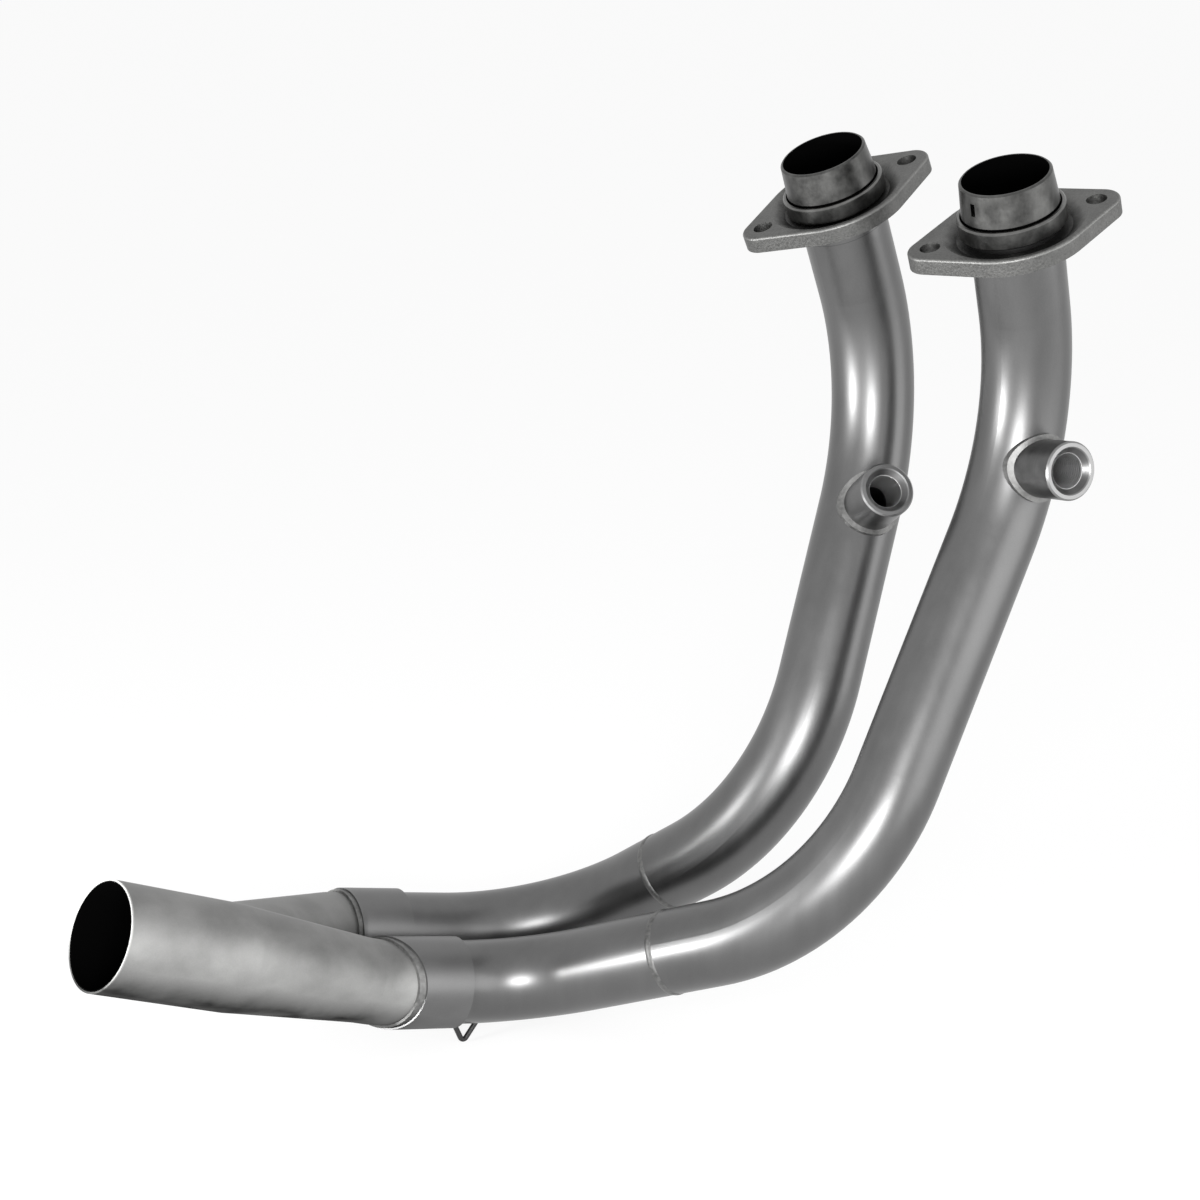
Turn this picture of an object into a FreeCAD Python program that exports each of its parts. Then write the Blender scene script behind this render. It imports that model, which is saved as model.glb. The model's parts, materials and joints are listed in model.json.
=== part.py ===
import FreeCAD, Part
import Sketcher
import math
import os

# Two-into-one exhaust header of a motorcycle twin, in millimetres.
# +X points to the front of the machine, +Y to its left, +Z up.
# The origin is the centre of the collector's open outlet.
# Each side has a bent pipe with a port flange at its top and slips into a socket
# of the collector at its bottom. "right" is the side at -Y.

Vector = FreeCAD.Vector
Placement = FreeCAD.Placement
Rotation = FreeCAD.Rotation

SIDES = ("right", "left")

doc = FreeCAD.newDocument("ExhaustHeader")
sheet = doc.addObject("Spreadsheet::Sheet", "Sizes")

# Driving sizes: alias, value, what it is
SIZES = (
    ("tube_od", 42.0, "outside diameter of both pipes"),
    ("tube_wall", 1.5, "wall of both pipes"),
    ("right_port_forward", 382.4, "collar face's centre along X"),
    ("right_port_side", -186.2, "collar face's centre along Y"),
    ("right_port_up", 300.7, "collar face's centre along Z"),
    ("left_port_forward", 378.5, "collar face's centre along X"),
    ("left_port_side", -84.0, "collar face's centre along Y"),
    ("left_port_up", 301.5, "collar face's centre along Z"),
    ("right_lean_angle", 21.5, "port leans back from upright, degrees"),
    ("left_lean_angle", 25.3, "port leans back from upright, degrees"),
    ("right_splay_angle", 0.5, "port leans away from the other port, degrees"),
    ("left_splay_angle", 2.4, "port leans away from the other port, degrees"),
    ("stub", 25.0, "collar face to where the pipe leaves the port's axis"),
    ("stub_joint", 22.4, "collar face to the lower end of the port's stub"),
    ("stub_bend", 60.0, "centreline radius of the slight turn below the stub"),
    ("right_neck_forward", 421.6, "first bend's corner along X"),
    ("right_neck_side", -182.3, "first bend's corner along Y"),
    ("right_neck_up", 192.8, "first bend's corner along Z"),
    ("left_neck_forward", 427.8, "first bend's corner along X"),
    ("left_neck_side", -85.3, "first bend's corner along Y"),
    ("left_neck_up", 190.8, "first bend's corner along Z"),
    ("right_knee_forward", 281.8, "second bend's corner along X"),
    ("right_knee_side", -190.3, "second bend's corner along Y"),
    ("right_knee_up", -20.4, "second bend's corner along Z"),
    ("left_knee_forward", 318.0, "second bend's corner along X"),
    ("left_knee_side", -122.8, "second bend's corner along Y"),
    ("left_knee_up", 0.9, "second bend's corner along Z"),
    ("neck_bend", 126.0, "centreline radius of the first bends"),
    ("knee_bend", 121.0, "centreline radius of the second bends"),
    ("right_foot_bend", 62.0, "centreline radius of the last bend"),
    ("left_foot_bend", 88.0, "centreline radius of the last bend"),
    ("right_foot_run", 83.4, "last bend's corner to the elbow's corner"),
    ("left_foot_run", 134.8, "last bend's corner to the elbow's corner"),
    ("right_seam_run", 97.0, "second bend's corner to the pipe's butt weld"),
    ("left_seam_run", 86.0, "second bend's corner to the pipe's butt weld"),
    ("seam_height", 0.45, "butt weld stands above the pipe"),
    ("seam_width", 3.4, "width of the butt weld"),
    ("slip_rise_angle", 15.0, "sockets climb towards the outlet, degrees"),
    ("slip_yaw_angle", 14.5, "sockets turn to the left, degrees"),
    ("right_elbow_forward", 142.9, "corner of the collector's elbow along X"),
    ("right_elbow_side", -11.0, "corner of the collector's elbow along Y"),
    ("right_elbow_up", -76.7, "corner of the collector's elbow along Z"),
    ("left_elbow_forward", 151.5, "corner of the collector's elbow along X"),
    ("left_elbow_side", 43.4, "corner of the collector's elbow along Y"),
    ("left_elbow_up", -73.5, "corner of the collector's elbow along Z"),
    ("right_elbow_bend", 60.0, "centreline radius of the elbow"),
    ("left_elbow_bend", 34.0, "centreline radius of the elbow"),
    ("right_socket_reach", 41.0, "socket mouth to the elbow's corner"),
    ("left_socket_reach", 37.8, "socket mouth to the elbow's corner"),
    ("right_socket_back", 2.7, "elbow's corner to the middle of the socket's weld"),
    ("left_socket_back", 5.8, "elbow's corner to the middle of the socket's weld"),
    ("right_socket_slant_angle", 28.0, "socket's welded end to square, degrees"),
    ("left_socket_slant_angle", 8.0, "socket's welded end to square, degrees"),
    ("right_socket_turn_angle", -72.0, "side where the socket is shortest, degrees"),
    ("left_socket_turn_angle", -80.0, "side where the socket is shortest, degrees"),
    ("socket_wall", 1.7, "wall of the sockets"),
    ("slip_gap", 0.3, "radial gap of the slip fit"),
    ("slip_depth", 24.0, "length of pipe inside a socket"),
    ("butt_gap", 1.0, "pipe's end to the end of the collector's tube"),
    ("elbow_land", 14.0, "elbow's corner to where the tube starts to widen"),
    ("collector_wall", 1.5, "wall of the collector"),
    ("outlet_od", 50.8, "outside diameter of the outlet"),
    ("outlet_rise_angle", 27.8, "outlet climbs towards its mouth, degrees"),
    ("outlet_yaw_angle", 5.4, "outlet turns to the left, degrees"),
    ("right_join_run", 61.9, "outlet mouth to where the right branch joins"),
    ("left_join_run", 56.9, "outlet mouth to where the left branch joins"),
    ("join_bend", 600.0, "centreline radius where the right branch joins"),
    ("left_branch_grow", 1.5, "left branch's radius grows by this to the join"),
    ("socket_bead_width", 3.0, "width of the weld behind a socket"),
    ("socket_bead_height", 1.2, "height of that weld above the tube"),
    ("spigot_height", 16.5, "spigot mouth above the collar face"),
    ("spigot_mouth_wall", 1.5, "wall at the spigot's mouth"),
    ("spigot_base_wall", 2.8, "wall at the spigot's shoulder"),
    ("spigot_lip", 0.7, "bevelled part of the mouth"),
    ("groove_width", 0.7, "groove's depth into the spigot and into the collar"),
    ("groove_height", 0.9, "spigot's shoulder above the collar face"),
    ("collar_rim", 1.8, "wall of the collar outside the groove"),
    ("collar_height", 8.5, "height of the collar ring"),
    ("collar_seat", 3.0, "depth of the spigot's seat in the collar"),
    ("collar_edge", 0.7, "chamfer of the collar's outer edges"),
    ("slot_width", 2.6, "slot in the right spigot"),
    ("slot_height", 6.0, "slot in the right spigot"),
    ("slot_below_mouth", 4.5, "spigot mouth to the slot's upper end"),
    ("slot_turn_angle", 170.0, "slot's place round the spigot, degrees"),
    ("right_plate_drop", 8.0, "collar face to the plate's top"),
    ("left_plate_drop", 5.6, "collar face to the plate's top"),
    ("plate_height", 8.0, "thickness of the flange plates"),
    ("plate_shoulder", 10.3, "collar's edge to the edge of the plate's round middle"),
    ("plate_edge", 1.3, "rounding of the plate's upper edge"),
    ("bolt_spacing", 77.6, "distance between the two bolt holes"),
    ("bolt_hole", 9.5, "diameter of the bolt holes"),
    ("ear_radius", 10.5, "radius of the plate's ears"),
    ("right_bolt_turn_angle", -39.5, "bolt line round the port axis, degrees"),
    ("left_bolt_turn_angle", -29.5, "bolt line round the port axis, degrees"),
    ("dish_depth", 4.0, "depth of the recess under the collar"),
    ("dish_gap", 1.5, "collar to the side of the recess, at its floor"),
    ("dish_slope", 6.4, "recess grows by this from its floor to the plate's top"),
    ("plate_bead", 3.0, "leg of the weld under the plate"),
    ("boss_od", 27.6, "outside diameter of the sensor bosses"),
    ("boss_stand", 22.8, "pipe's surface to the boss's face"),
    ("boss_sink", 10.0, "boss's blank reaches so far below the pipe's surface"),
    ("boss_edge", 0.8, "chamfer of the boss's outer edge"),
    ("thread_bore", 16.4, "drill size of the M18 x 1.5 thread"),
    ("thread_lead", 22.6, "diameter of the lead-in chamfer"),
    ("thread_lead_depth", 3.0, "depth of the lead-in chamfer"),
    ("boss_bead", 2.4, "leg of the weld round a boss"),
    ("right_boss_turn_angle", 35.3, "boss's place in the first bend, degrees"),
    ("left_boss_turn_angle", 56.0, "boss's place in the first bend, degrees"),
    ("right_boss_roll_angle", 114.8, "from the bend's outer side, degrees"),
    ("left_boss_roll_angle", 135.9, "from the bend's outer side, degrees"),
    ("right_boss_tilt_angle", 5.35, "boss leans against the flow, degrees"),
    ("left_boss_tilt_angle", 8.0, "boss leans against the flow, degrees"),
    ("hook_wire", 2.7, "wire of the spring hooks"),
    ("hook_spread", 12.6, "distance between a hook's feet on the pipe"),
    ("hook_stand", 10.0, "hook's corner from the pipe's surface"),
    ("hook_bend", 1.9, "centreline radius at the hook's corner"),
    ("hook_ahead", 8.9, "socket mouth to the hook's middle"),
    ("hook_roll_angle", 15.0, "hook's turn from straight down, degrees"),
)

for row, (alias, number, note) in enumerate(SIZES, start=1):
    sheet.set("A%d" % row, alias)
    sheet.set("B%d" % row, str(number))
    sheet.set("C%d" % row, note)
    sheet.setAlias("B%d" % row, alias)
doc.recompute()


def size(expression):
    """Value of an expression in the sheet's own sizes, such as "tube_od / 2"."""
    return float(sheet.evalExpression(expression))


def bind(thing, **properties):
    """Bind properties of a document object to expressions in the sheet's sizes."""
    for name, expression in properties.items():
        thing.setExpression(name, in_sheet(expression))


def in_sheet(expression):
    """Write an expression's aliases the way other objects refer to them."""
    words = []
    for word in expression.split():
        words.append("Sizes." + word if word in ALIASES else word)
    return " ".join(words)


ALIASES = {alias for alias, number, note in SIZES}


# Directions and frames

def place_named(name):
    """A point whose three coordinates are sizes in the sheet."""
    return Vector(size(name + "_forward"), size(name + "_side"), size(name + "_up"))


def direction(rise, yaw):
    """Unit vector to the rear, climbing by rise and turned left by yaw degrees."""
    climb = math.radians(rise)
    turn = math.radians(yaw)
    return Vector(-math.cos(climb) * math.cos(turn), math.cos(climb) * math.sin(turn), math.sin(climb))


def frame(origin, axis, across, turn=0.0):
    """Placement with local Z on the axis and local X square to it, near to across."""
    z = Vector(axis).normalize()
    x = (across - z * across.dot(z)).normalize()
    y = z.cross(x)
    squared = Rotation(x, y, z, "ZXY")
    return Placement(origin, squared.multiply(Rotation(Vector(0, 0, 1), turn)))


def mirrored(side):
    """-1 on the right side of the machine, +1 on the left."""
    return -1.0 if side == "right" else 1.0


def port_axis(side):
    lean = math.radians(size(side + "_lean_angle"))
    splay = math.radians(size(side + "_splay_angle"))
    return Vector(-math.sin(lean) * math.cos(splay), mirrored(side) * math.sin(splay),
                  math.cos(lean) * math.cos(splay))


def port_centre(side):
    return place_named(side + "_port")


def port_frame(side, below=0.0, turn=0.0):
    """Frame at the collar face: Z into the engine, X forward and up."""
    axis = port_axis(side)
    forward = Vector(0, 1, 0).cross(axis)
    return frame(port_centre(side) - axis * below, axis, forward, turn)


SLIP = direction(size("slip_rise_angle"), size("slip_yaw_angle"))
OUTLET = direction(size("outlet_rise_angle"), size("outlet_yaw_angle"))

# Radii that several pieces share
BORE = "tube_od / 2 - tube_wall"
SHOULDER = BORE + " + spigot_base_wall"
NECK = SHOULDER + " - groove_width"
SEAT = SHOULDER + " + groove_width"
COLLAR = SEAT + " + collar_rim"
BELLY = COLLAR + " + plate_shoulder"
SOCKET = "tube_od / 2 + slip_gap + socket_wall"
BOSS_FACE = "tube_od / 2 + boss_stand"


# Routes of the pipes

def route_corners(side):
    """Collar face, the bends' corners and the elbow's corner of one pipe."""
    top = port_centre(side)
    elbow = place_named(side + "_elbow")
    return [top,
            top - port_axis(side) * size("stub"),
            place_named(side + "_neck"),
            place_named(side + "_knee"),
            elbow - SLIP * size(side + "_foot_run"),
            elbow]


def bend_radii(side):
    """Radii of the slight turn below the stub, the neck, the knee and the foot."""
    return [size("stub_bend"), size("neck_bend"), size("knee_bend"), size(side + "_foot_bend")]


class Bend:
    """The arc of one radius that rounds the corner between two straight runs."""

    def __init__(self, before, corner, after, radius):
        self.inward = (corner - before).normalize()
        self.outward = (after - corner).normalize()
        self.angle = self.inward.getAngle(self.outward)
        self.radius = radius
        self.tangent = radius * math.tan(self.angle / 2)
        self.start = corner - self.inward * self.tangent
        self.end = corner + self.outward * self.tangent
        self.side = (self.outward - self.inward * self.inward.dot(self.outward)).normalize()
        self.centre = self.start + self.side * radius

    def at(self, degrees):
        """Point, travel direction and outer side, so many degrees into the bend."""
        turn = math.radians(degrees)
        outer = self.inward * math.sin(turn) - self.side * math.cos(turn)
        travel = self.inward * math.cos(turn) + self.side * math.sin(turn)
        return self.centre + outer * self.radius, travel, outer

    def edge(self):
        middle = self.at(math.degrees(self.angle) / 2)[0]
        return Part.Arc(self.start, middle, self.end).toShape()


def bends(corners, radii):
    return [Bend(corners[i], corners[i + 1], corners[i + 2], radii[i]) for i in range(len(radii))]


def wire_through(corners, radii):
    """Straight runs through the corners, joined by tangent arcs."""
    edges = []
    here = corners[0]
    for bend in bends(corners, radii):
        edges.append(Part.LineSegment(here, bend.start).toShape())
        edges.append(bend.edge())
        here = bend.end
    edges.append(Part.LineSegment(here, corners[-1]).toShape())
    return Part.Wire(edges)


def seam_place(side):
    """Centre and direction of the butt weld between the knee and the foot."""
    corners = route_corners(side)
    run = (corners[4] - corners[3]).normalize()
    return corners[3] + run * size(side + "_seam_run"), run


# Document objects

def camel(*words):
    return "".join(part.capitalize() for word in words for part in word.split("_"))


def add(kind, name, placement=None, **bound):
    thing = doc.addObject(kind, name)
    bind(thing, **bound)
    if placement is not None:
        thing.Placement = placement
    return thing


def route_object(name, wire):
    route = doc.addObject("Part::Feature", name)
    route.Shape = wire
    return route


def swept(name, route, radius):
    """A round bar of the given radius along a route."""
    start = route.Shape.Vertexes[0].Point
    tangent = route.Shape.Edges[0].tangentAt(route.Shape.Edges[0].FirstParameter)
    ring = add("Part::Circle", name + "Section", Placement(start, Rotation(Vector(0, 0, 1), tangent)),
               Radius=radius)
    bar = doc.addObject("Part::Sweep", name)
    bar.Sections = [ring]
    bar.Spine = (route, ["Edge%d" % (i + 1) for i in range(len(route.Shape.Edges))])
    bar.Solid = True
    bar.Frenet = False
    return bar


def cylinder(name, placement, radius, height):
    return add("Part::Cylinder", name, placement, Radius=radius, Height=height)


def cut(name, base, *tools):
    tool = tools[0] if len(tools) == 1 else fuse(name + "Tools", *tools)
    thing = doc.addObject("Part::Cut", name)
    thing.Base = base
    thing.Tool = tool
    return thing


def fuse(name, *shapes):
    thing = doc.addObject("Part::MultiFuse", name)
    thing.Shapes = list(shapes)
    return thing


def common(name, *shapes):
    thing = doc.addObject("Part::MultiCommon", name)
    thing.Shapes = list(shapes)
    return thing


subparts = []


def subpart(thing, label):
    """Name a finished piece after its file."""
    thing.Label = label
    subparts.append(thing)
    return thing


def plane_of(body, role):
    return next(plane for plane in body.Origin.OriginFeatures if plane.Role == role)


def new_body(name, placement):
    body = doc.addObject("PartDesign::Body", name)
    body.Placement = placement
    return body


def sketch_on(body, name, role="XY_Plane", height=None):
    sketch = body.newObject("Sketcher::SketchObject", name)
    sketch.AttachmentSupport = (plane_of(body, role), [""])
    sketch.MapMode = "FlatFace"
    if height is not None:
        bind(sketch, **{"AttachmentOffset.Base.z": height})
    return sketch


def hold(sketch, kind, geometry, point, expression):
    """Add a constraint to the sketch and bind its size to the sheet."""
    index = sketch.addConstraint(constraint(kind, geometry, point, size(expression)))
    name = "%s%d" % (kind, index)
    sketch.renameConstraint(index, name)
    bind(sketch, **{"Constraints." + name: expression})


def constraint(kind, geometry, point, number):
    if point is None:
        return Sketcher.Constraint(kind, geometry, number)
    return Sketcher.Constraint(kind, geometry, point, number)


def draw_circle(sketch, radius, along=None):
    """Circle on the sketch's own centre, or so far along its X axis."""
    place = Vector(size(along), 0, 0) if along else Vector(0, 0, 0)
    index = sketch.addGeometry(Part.Circle(place, Vector(0, 0, 1), size(radius)))
    hold(sketch, "Radius", index, None, radius)
    pin_point(sketch, index, 3, along or "0 * tube_od", "0 * tube_od")


def pin_point(sketch, geometry, point, across, up):
    """Hold one point of the geometry at two sizes from the sketch's centre."""
    hold(sketch, "DistanceX", geometry, point, across)
    hold(sketch, "DistanceY", geometry, point, up)


def draw_outline(sketch, corners):
    """Closed outline of straight lines, each corner held by two expressions."""
    points = [Vector(size(across), size(up), 0) for across, up in corners]
    count = len(points)
    for i in range(count):
        sketch.addGeometry(Part.LineSegment(points[i], points[(i + 1) % count]))
    for i in range(count):
        sketch.addConstraint(coincident((i - 1) % count, 2, i, 1))
        pin_point(sketch, i, 1, *corners[i])


def coincident(first, first_end, second, second_end):
    return Sketcher.Constraint("Coincident", first, first_end, second, second_end)


def pad(body, name, sketch, length):
    feature = body.newObject("PartDesign::Pad", name)
    feature.Profile = sketch
    bind(feature, Length=length)
    return feature


def pocket(body, name, sketch, depth):
    feature = body.newObject("PartDesign::Pocket", name)
    feature.Profile = sketch
    bind(feature, Length=depth)
    return feature


def turned(name, placement, corners):
    """A piece turned about its local Z from an outline of radii and heights."""
    body = new_body(name, placement)
    sketch = sketch_on(body, name + "Profile", "XZ_Plane")
    draw_outline(sketch, corners)
    feature = body.newObject("PartDesign::Revolution", name + "Turned")
    feature.Profile = sketch
    feature.ReferenceAxis = (sketch, ["V_Axis"])
    feature.Angle = 360.0
    return body


# Port end of each pipe: spigot, collar ring, flange plate and its weld

def spigot(side):
    body = turned(camel(side, "spigot", "blank"), port_frame(side), (
        (BORE, "0 - collar_seat"),
        (NECK, "0 - collar_seat"),
        (NECK, "0 * tube_od"),
        (SHOULDER, "groove_height"),
        (BORE + " + spigot_mouth_wall", "spigot_height - spigot_lip"),
        (BORE + " + spigot_mouth_wall - spigot_lip", "spigot_height"),
        (BORE, "spigot_height"),
    ))
    if side == "left":
        return subpart(body, "left_spigot")
    slot = add("Part::Box", camel(side, "spigot", "slot"), Length=SHOULDER + " + collar_rim", Width="slot_width",
               Height="slot_height")
    start = Vector(0, -size("slot_width") / 2, size("spigot_height - slot_below_mouth - slot_height"))
    around = port_frame(side, turn=size("slot_turn_angle"))
    slot.Placement = around.multiply(Placement(start, Rotation()))
    return subpart(cut(camel(side, "spigot"), body, slot), side + "_spigot")


def collar_ring(side):
    body = turned(camel(side, "collar", "ring"), port_frame(side), (
        ("tube_od / 2", "0 - collar_height"),
        (COLLAR + " - collar_edge", "0 - collar_height"),
        (COLLAR, "collar_edge - collar_height"),
        (COLLAR, "0 - collar_edge"),
        (COLLAR + " - collar_edge", "0 * tube_od"),
        (SEAT, "0 * tube_od"),
        (SEAT, "0 - collar_seat"),
        ("tube_od / 2", "0 - collar_seat"),
    ))
    return subpart(body, side + "_collar_ring")


def draw_plate(sketch):
    """Round middle and two ears, joined by lines that touch both."""
    half = size("bolt_spacing / 2")
    ear = size("ear_radius")
    belly = size(BELLY)
    slant = math.asin((belly - ear) / half)
    foot = Vector(belly * math.sin(slant), belly * math.cos(slant), 0)
    touch = Vector(half, 0, 0) + foot * (ear / belly)
    arcs = (
        (Vector(-foot.x, -foot.y, 0), Vector(0, -belly, 0), Vector(foot.x, -foot.y, 0)),
        (Vector(touch.x, -touch.y, 0), Vector(half + ear, 0, 0), touch),
        (foot, Vector(0, belly, 0), Vector(-foot.x, foot.y, 0)),
        (Vector(-touch.x, touch.y, 0), Vector(-half - ear, 0, 0), Vector(-touch.x, -touch.y, 0)),
    )
    for i in range(4):
        sketch.addGeometry(Part.Arc(*arcs[i]))
        sketch.addGeometry(Part.LineSegment(arcs[i][2], arcs[(i + 1) % 4][0]))
    for i in range(8):
        sketch.addConstraint(Sketcher.Constraint("Tangent", i, 2, (i + 1) % 8, 1))
    centres = ("0 * tube_od", "bolt_spacing / 2", "0 * tube_od", "0 - bolt_spacing / 2")
    for i in range(4):
        hold(sketch, "Radius", 2 * i, None, BELLY if i % 2 == 0 else "ear_radius")
        pin_point(sketch, 2 * i, 3, centres[i], "0 * tube_od")


def flange_plate(side):
    drop = side + "_plate_drop"
    underside = size(drop + " + plate_height")
    name = camel(side, "flange", "plate")
    body = new_body(name, port_frame(side, underside, size(side + "_bolt_turn_angle")))
    plan = sketch_on(body, name + "Plan")
    draw_plate(plan)
    outline = pad(body, name + "Pad", plan, "plate_height")
    doc.recompute()
    edge = body.newObject("PartDesign::Fillet", name + "Edge")
    edge.Base = (outline, upper_edges(outline.Shape))
    bind(edge, Radius="plate_edge")
    bore = sketch_on(body, name + "Bore", height="plate_height")
    draw_circle(bore, "tube_od / 2")
    pocket(body, name + "BorePocket", bore, "plate_height")
    holes = sketch_on(body, name + "Bolts", height="plate_height")
    draw_circle(holes, "bolt_hole / 2", "bolt_spacing / 2")
    draw_circle(holes, "bolt_hole / 2", "0 - bolt_spacing / 2")
    pocket(body, name + "BoltsPocket", holes, "plate_height")
    dish = sketch_on(body, name + "Dish", "XZ_Plane")
    draw_outline(dish, (
        ("tube_od / 4", "plate_height - dish_depth"),
        (COLLAR + " + dish_gap", "plate_height - dish_depth"),
        (COLLAR + " + dish_gap + dish_slope", "plate_height"),
        ("tube_od / 4", "plate_height"),
    ))
    groove = body.newObject("PartDesign::Groove", name + "DishGroove")
    groove.Profile = dish
    groove.ReferenceAxis = (dish, ["V_Axis"])
    groove.Angle = 360.0
    return subpart(body, side + "_flange_plate")


def upper_edges(shape):
    """Names of the outline's edges on the highest flat face."""
    under_top = shape.BoundBox.ZMax - size("plate_edge / 2")
    names = []
    for i, edge in enumerate(shape.Edges, start=1):
        if edge.BoundBox.ZMin > under_top:
            names.append("Edge%d" % i)
    return names


def flange_weld(side):
    """Quarter-round bead between the pipe and the underside of its plate."""
    below = size(side + "_plate_drop + plate_height")
    bead = add("Part::Torus", camel(side, "flange", "weld"), port_frame(side, below),
               Radius1="tube_od / 2", Radius2="plate_bead")
    bead.Angle1 = 0.0
    bead.Angle2 = 90.0
    return subpart(bead, side + "_flange_weld")


# Pipes and what is welded to them

def boss_frame(side):
    """Frame on the pipe's centreline: Z out through the boss, X along the pipe."""
    first = bends(route_corners(side), bend_radii(side))[1]
    point, travel, outer = first.at(size(side + "_boss_turn_angle"))
    across = travel.cross(outer)
    roll = math.radians(size(side + "_boss_roll_angle"))
    out = outer * math.cos(roll) + across * math.sin(roll)
    tilt = math.radians(size(side + "_boss_tilt_angle"))
    return frame(point, out * math.cos(tilt) - travel * math.sin(tilt), travel)


def pipe_routes(side):
    """Routes of a pipe's four lengths, from the port's stub to the foot."""
    corners = route_corners(side)
    radii = bend_radii(side)
    turns = bends(corners, radii)
    top = corners[0] - port_axis(side) * size("collar_seat")
    joint = corners[0] - port_axis(side) * size("stub_joint")
    leg = (turns[1].end + turns[2].start) * 0.5
    seam, run = seam_place(side)
    inside = socket_mouth(side) + SLIP * size("slip_depth")
    return (
        ("port_stub", wire_through([top, joint], [])),
        ("upper_pipe", wire_through([joint, corners[1], corners[2], leg], radii[:2])),
        ("middle_pipe", wire_through([leg, corners[3], seam], radii[2:3])),
        ("lower_pipe", wire_through([seam, corners[4], inside], radii[3:])),
    )


def socket_mouth(side):
    return place_named(side + "_elbow") - SLIP * size(side + "_socket_reach")


def pipe_length(side, piece, wire, drill=None):
    name = camel(side, piece)
    route = route_object(name + "Route", wire)
    outside = swept(name + "Outside", route, "tube_od / 2")
    inside = swept(name + "Inside", route, BORE)
    tools = [inside] if drill is None else [inside, drill]
    subpart(cut(name, outside, *tools), "%s_%s" % (side, piece))
    return route, outside


def pipe_weld(side):
    """Low round-topped band over the butt joint."""
    seam, run = seam_place(side)
    crown = "( seam_height * seam_height + seam_width * seam_width / 4 ) / ( 2 * seam_height )"
    name = camel(side, "pipe", "weld")
    ring = add("Part::Torus", name + "Ring", frame(seam, run, Vector(0, 0, 1)),
               Radius1="tube_od / 2 + seam_height - " + crown, Radius2=crown)
    core = cylinder(name + "Core", frame(seam - run * size(crown), run, Vector(0, 0, 1)),
                    "tube_od / 2", "2 * " + crown)
    return subpart(cut(name, ring, core), side + "_pipe_weld")


def sensor_boss(side, pipe_route, pipe_outside):
    where = boss_frame(side)
    name = camel(side, "sensor", "boss")
    blank = turned(name + "Blank", where, (
        ("thread_bore / 2", "tube_od / 2 - boss_sink"),
        ("boss_od / 2", "tube_od / 2 - boss_sink"),
        ("boss_od / 2", BOSS_FACE + " - boss_edge"),
        ("boss_od / 2 - boss_edge", BOSS_FACE),
        ("thread_lead / 2", BOSS_FACE),
        ("thread_bore / 2", BOSS_FACE + " - thread_lead_depth"),
    ))
    subpart(cut(name, blank, pipe_outside), side + "_sensor_boss")

    # The bead fills the corner between the boss and the pipe
    weld = camel(side, "boss", "weld")
    cover = swept(weld + "Cover", pipe_route, "tube_od / 2 + boss_bead")
    wide = cylinder(weld + "Wide", where, "boss_od / 2 + boss_bead", BOSS_FACE)
    body = cylinder(weld + "Body", where, "boss_od / 2", BOSS_FACE)
    block = common(weld + "Block", cover, wide)
    subpart(cut(weld, block, pipe_outside, body), side + "_boss_weld")


def sensor_drill(side):
    return cylinder(camel(side, "sensor", "drill"), boss_frame(side), "thread_bore / 2", BOSS_FACE)


# Collector, its sockets and their spring hooks

def join_point(side):
    return OUTLET * -size(side + "_join_run")


def elbow(side):
    """Bend of a branch behind its socket, from the slip direction to the join."""
    radius = size(side + "_elbow_bend")
    return Bend(socket_mouth(side), place_named(side + "_elbow"), join_point(side), radius)


def widening_start(side):
    """Where a branch starts to widen, and its direction there."""
    axis = elbow(side).outward
    return place_named(side + "_elbow") + axis * size("elbow_land"), axis


def elbow_wire(side, start):
    """Route from a point on the slip line through the elbow to the widening."""
    corner = place_named(side + "_elbow")
    return wire_through([start, corner, widening_start(side)[0]], [size(side + "_elbow_bend")])


def tube_end(side, early=0.0):
    """End of the collector's tube inside a socket, just past the end of the pipe."""
    return socket_mouth(side) + SLIP * (size("slip_depth + butt_gap") - early)


def outlet_bend():
    corner = join_point("right")
    return Bend(place_named("right_elbow"), corner, Vector(0, 0, 0), size("join_bend"))


def widening(side, name, inset):
    """Cone from the branch's tube to the join."""
    start, axis = widening_start(side)
    cone = add("Part::Cone", name, frame(start, axis, Vector(0, 0, 1)), Radius1="tube_od / 2" + inset)
    if side == "right":
        end = outlet_bend().start
        bind(cone, Radius2="outlet_od / 2" + inset)
    else:
        end = join_point(side)
        bind(cone, Radius2="tube_od / 2 + left_branch_grow" + inset)
    cone.Height = (end - start).Length
    return cone


def collector_solid(name, inset, early):
    """Both branches and the outlet run as one solid, or their bores."""
    bend = outlet_bend()
    edges = [bend.edge(), Part.LineSegment(bend.end, Vector(0, 0, 0)).toShape()]
    run = route_object(name + "Route", Part.Wire(edges))
    pieces = [swept(name + "Outlet", run, "outlet_od / 2" + inset)]
    for side in SIDES:
        branch = camel(name, side)
        tube = route_object(branch + "Route", elbow_wire(side, tube_end(side, early)))
        pieces.append(swept(branch + "Tube", tube, "tube_od / 2" + inset))
        pieces.append(widening(side, branch + "Widening", inset))
    return fuse(name, *pieces)


def collector():
    outside = collector_solid("CollectorOutside", "", 0.0)
    bore = collector_solid("CollectorBore", " - collector_wall", size("butt_gap"))
    subpart(cut("Collector", outside, bore), "collector")
    return outside


def socket_end(side):
    """Frame on a socket's slanting welded end: Z square to it, towards the outlet."""
    corner = place_named(side + "_elbow")
    around = frame(corner, SLIP, Vector(0, 0, 1), size(side + "_socket_turn_angle"))
    shortest = around.Rotation.multVec(Vector(1, 0, 0))
    slant = math.radians(size(side + "_socket_slant_angle"))
    square = SLIP * math.cos(slant) + shortest * math.sin(slant)
    return frame(corner - SLIP * size(side + "_socket_back"), square, Vector(0, 0, 1))


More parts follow.
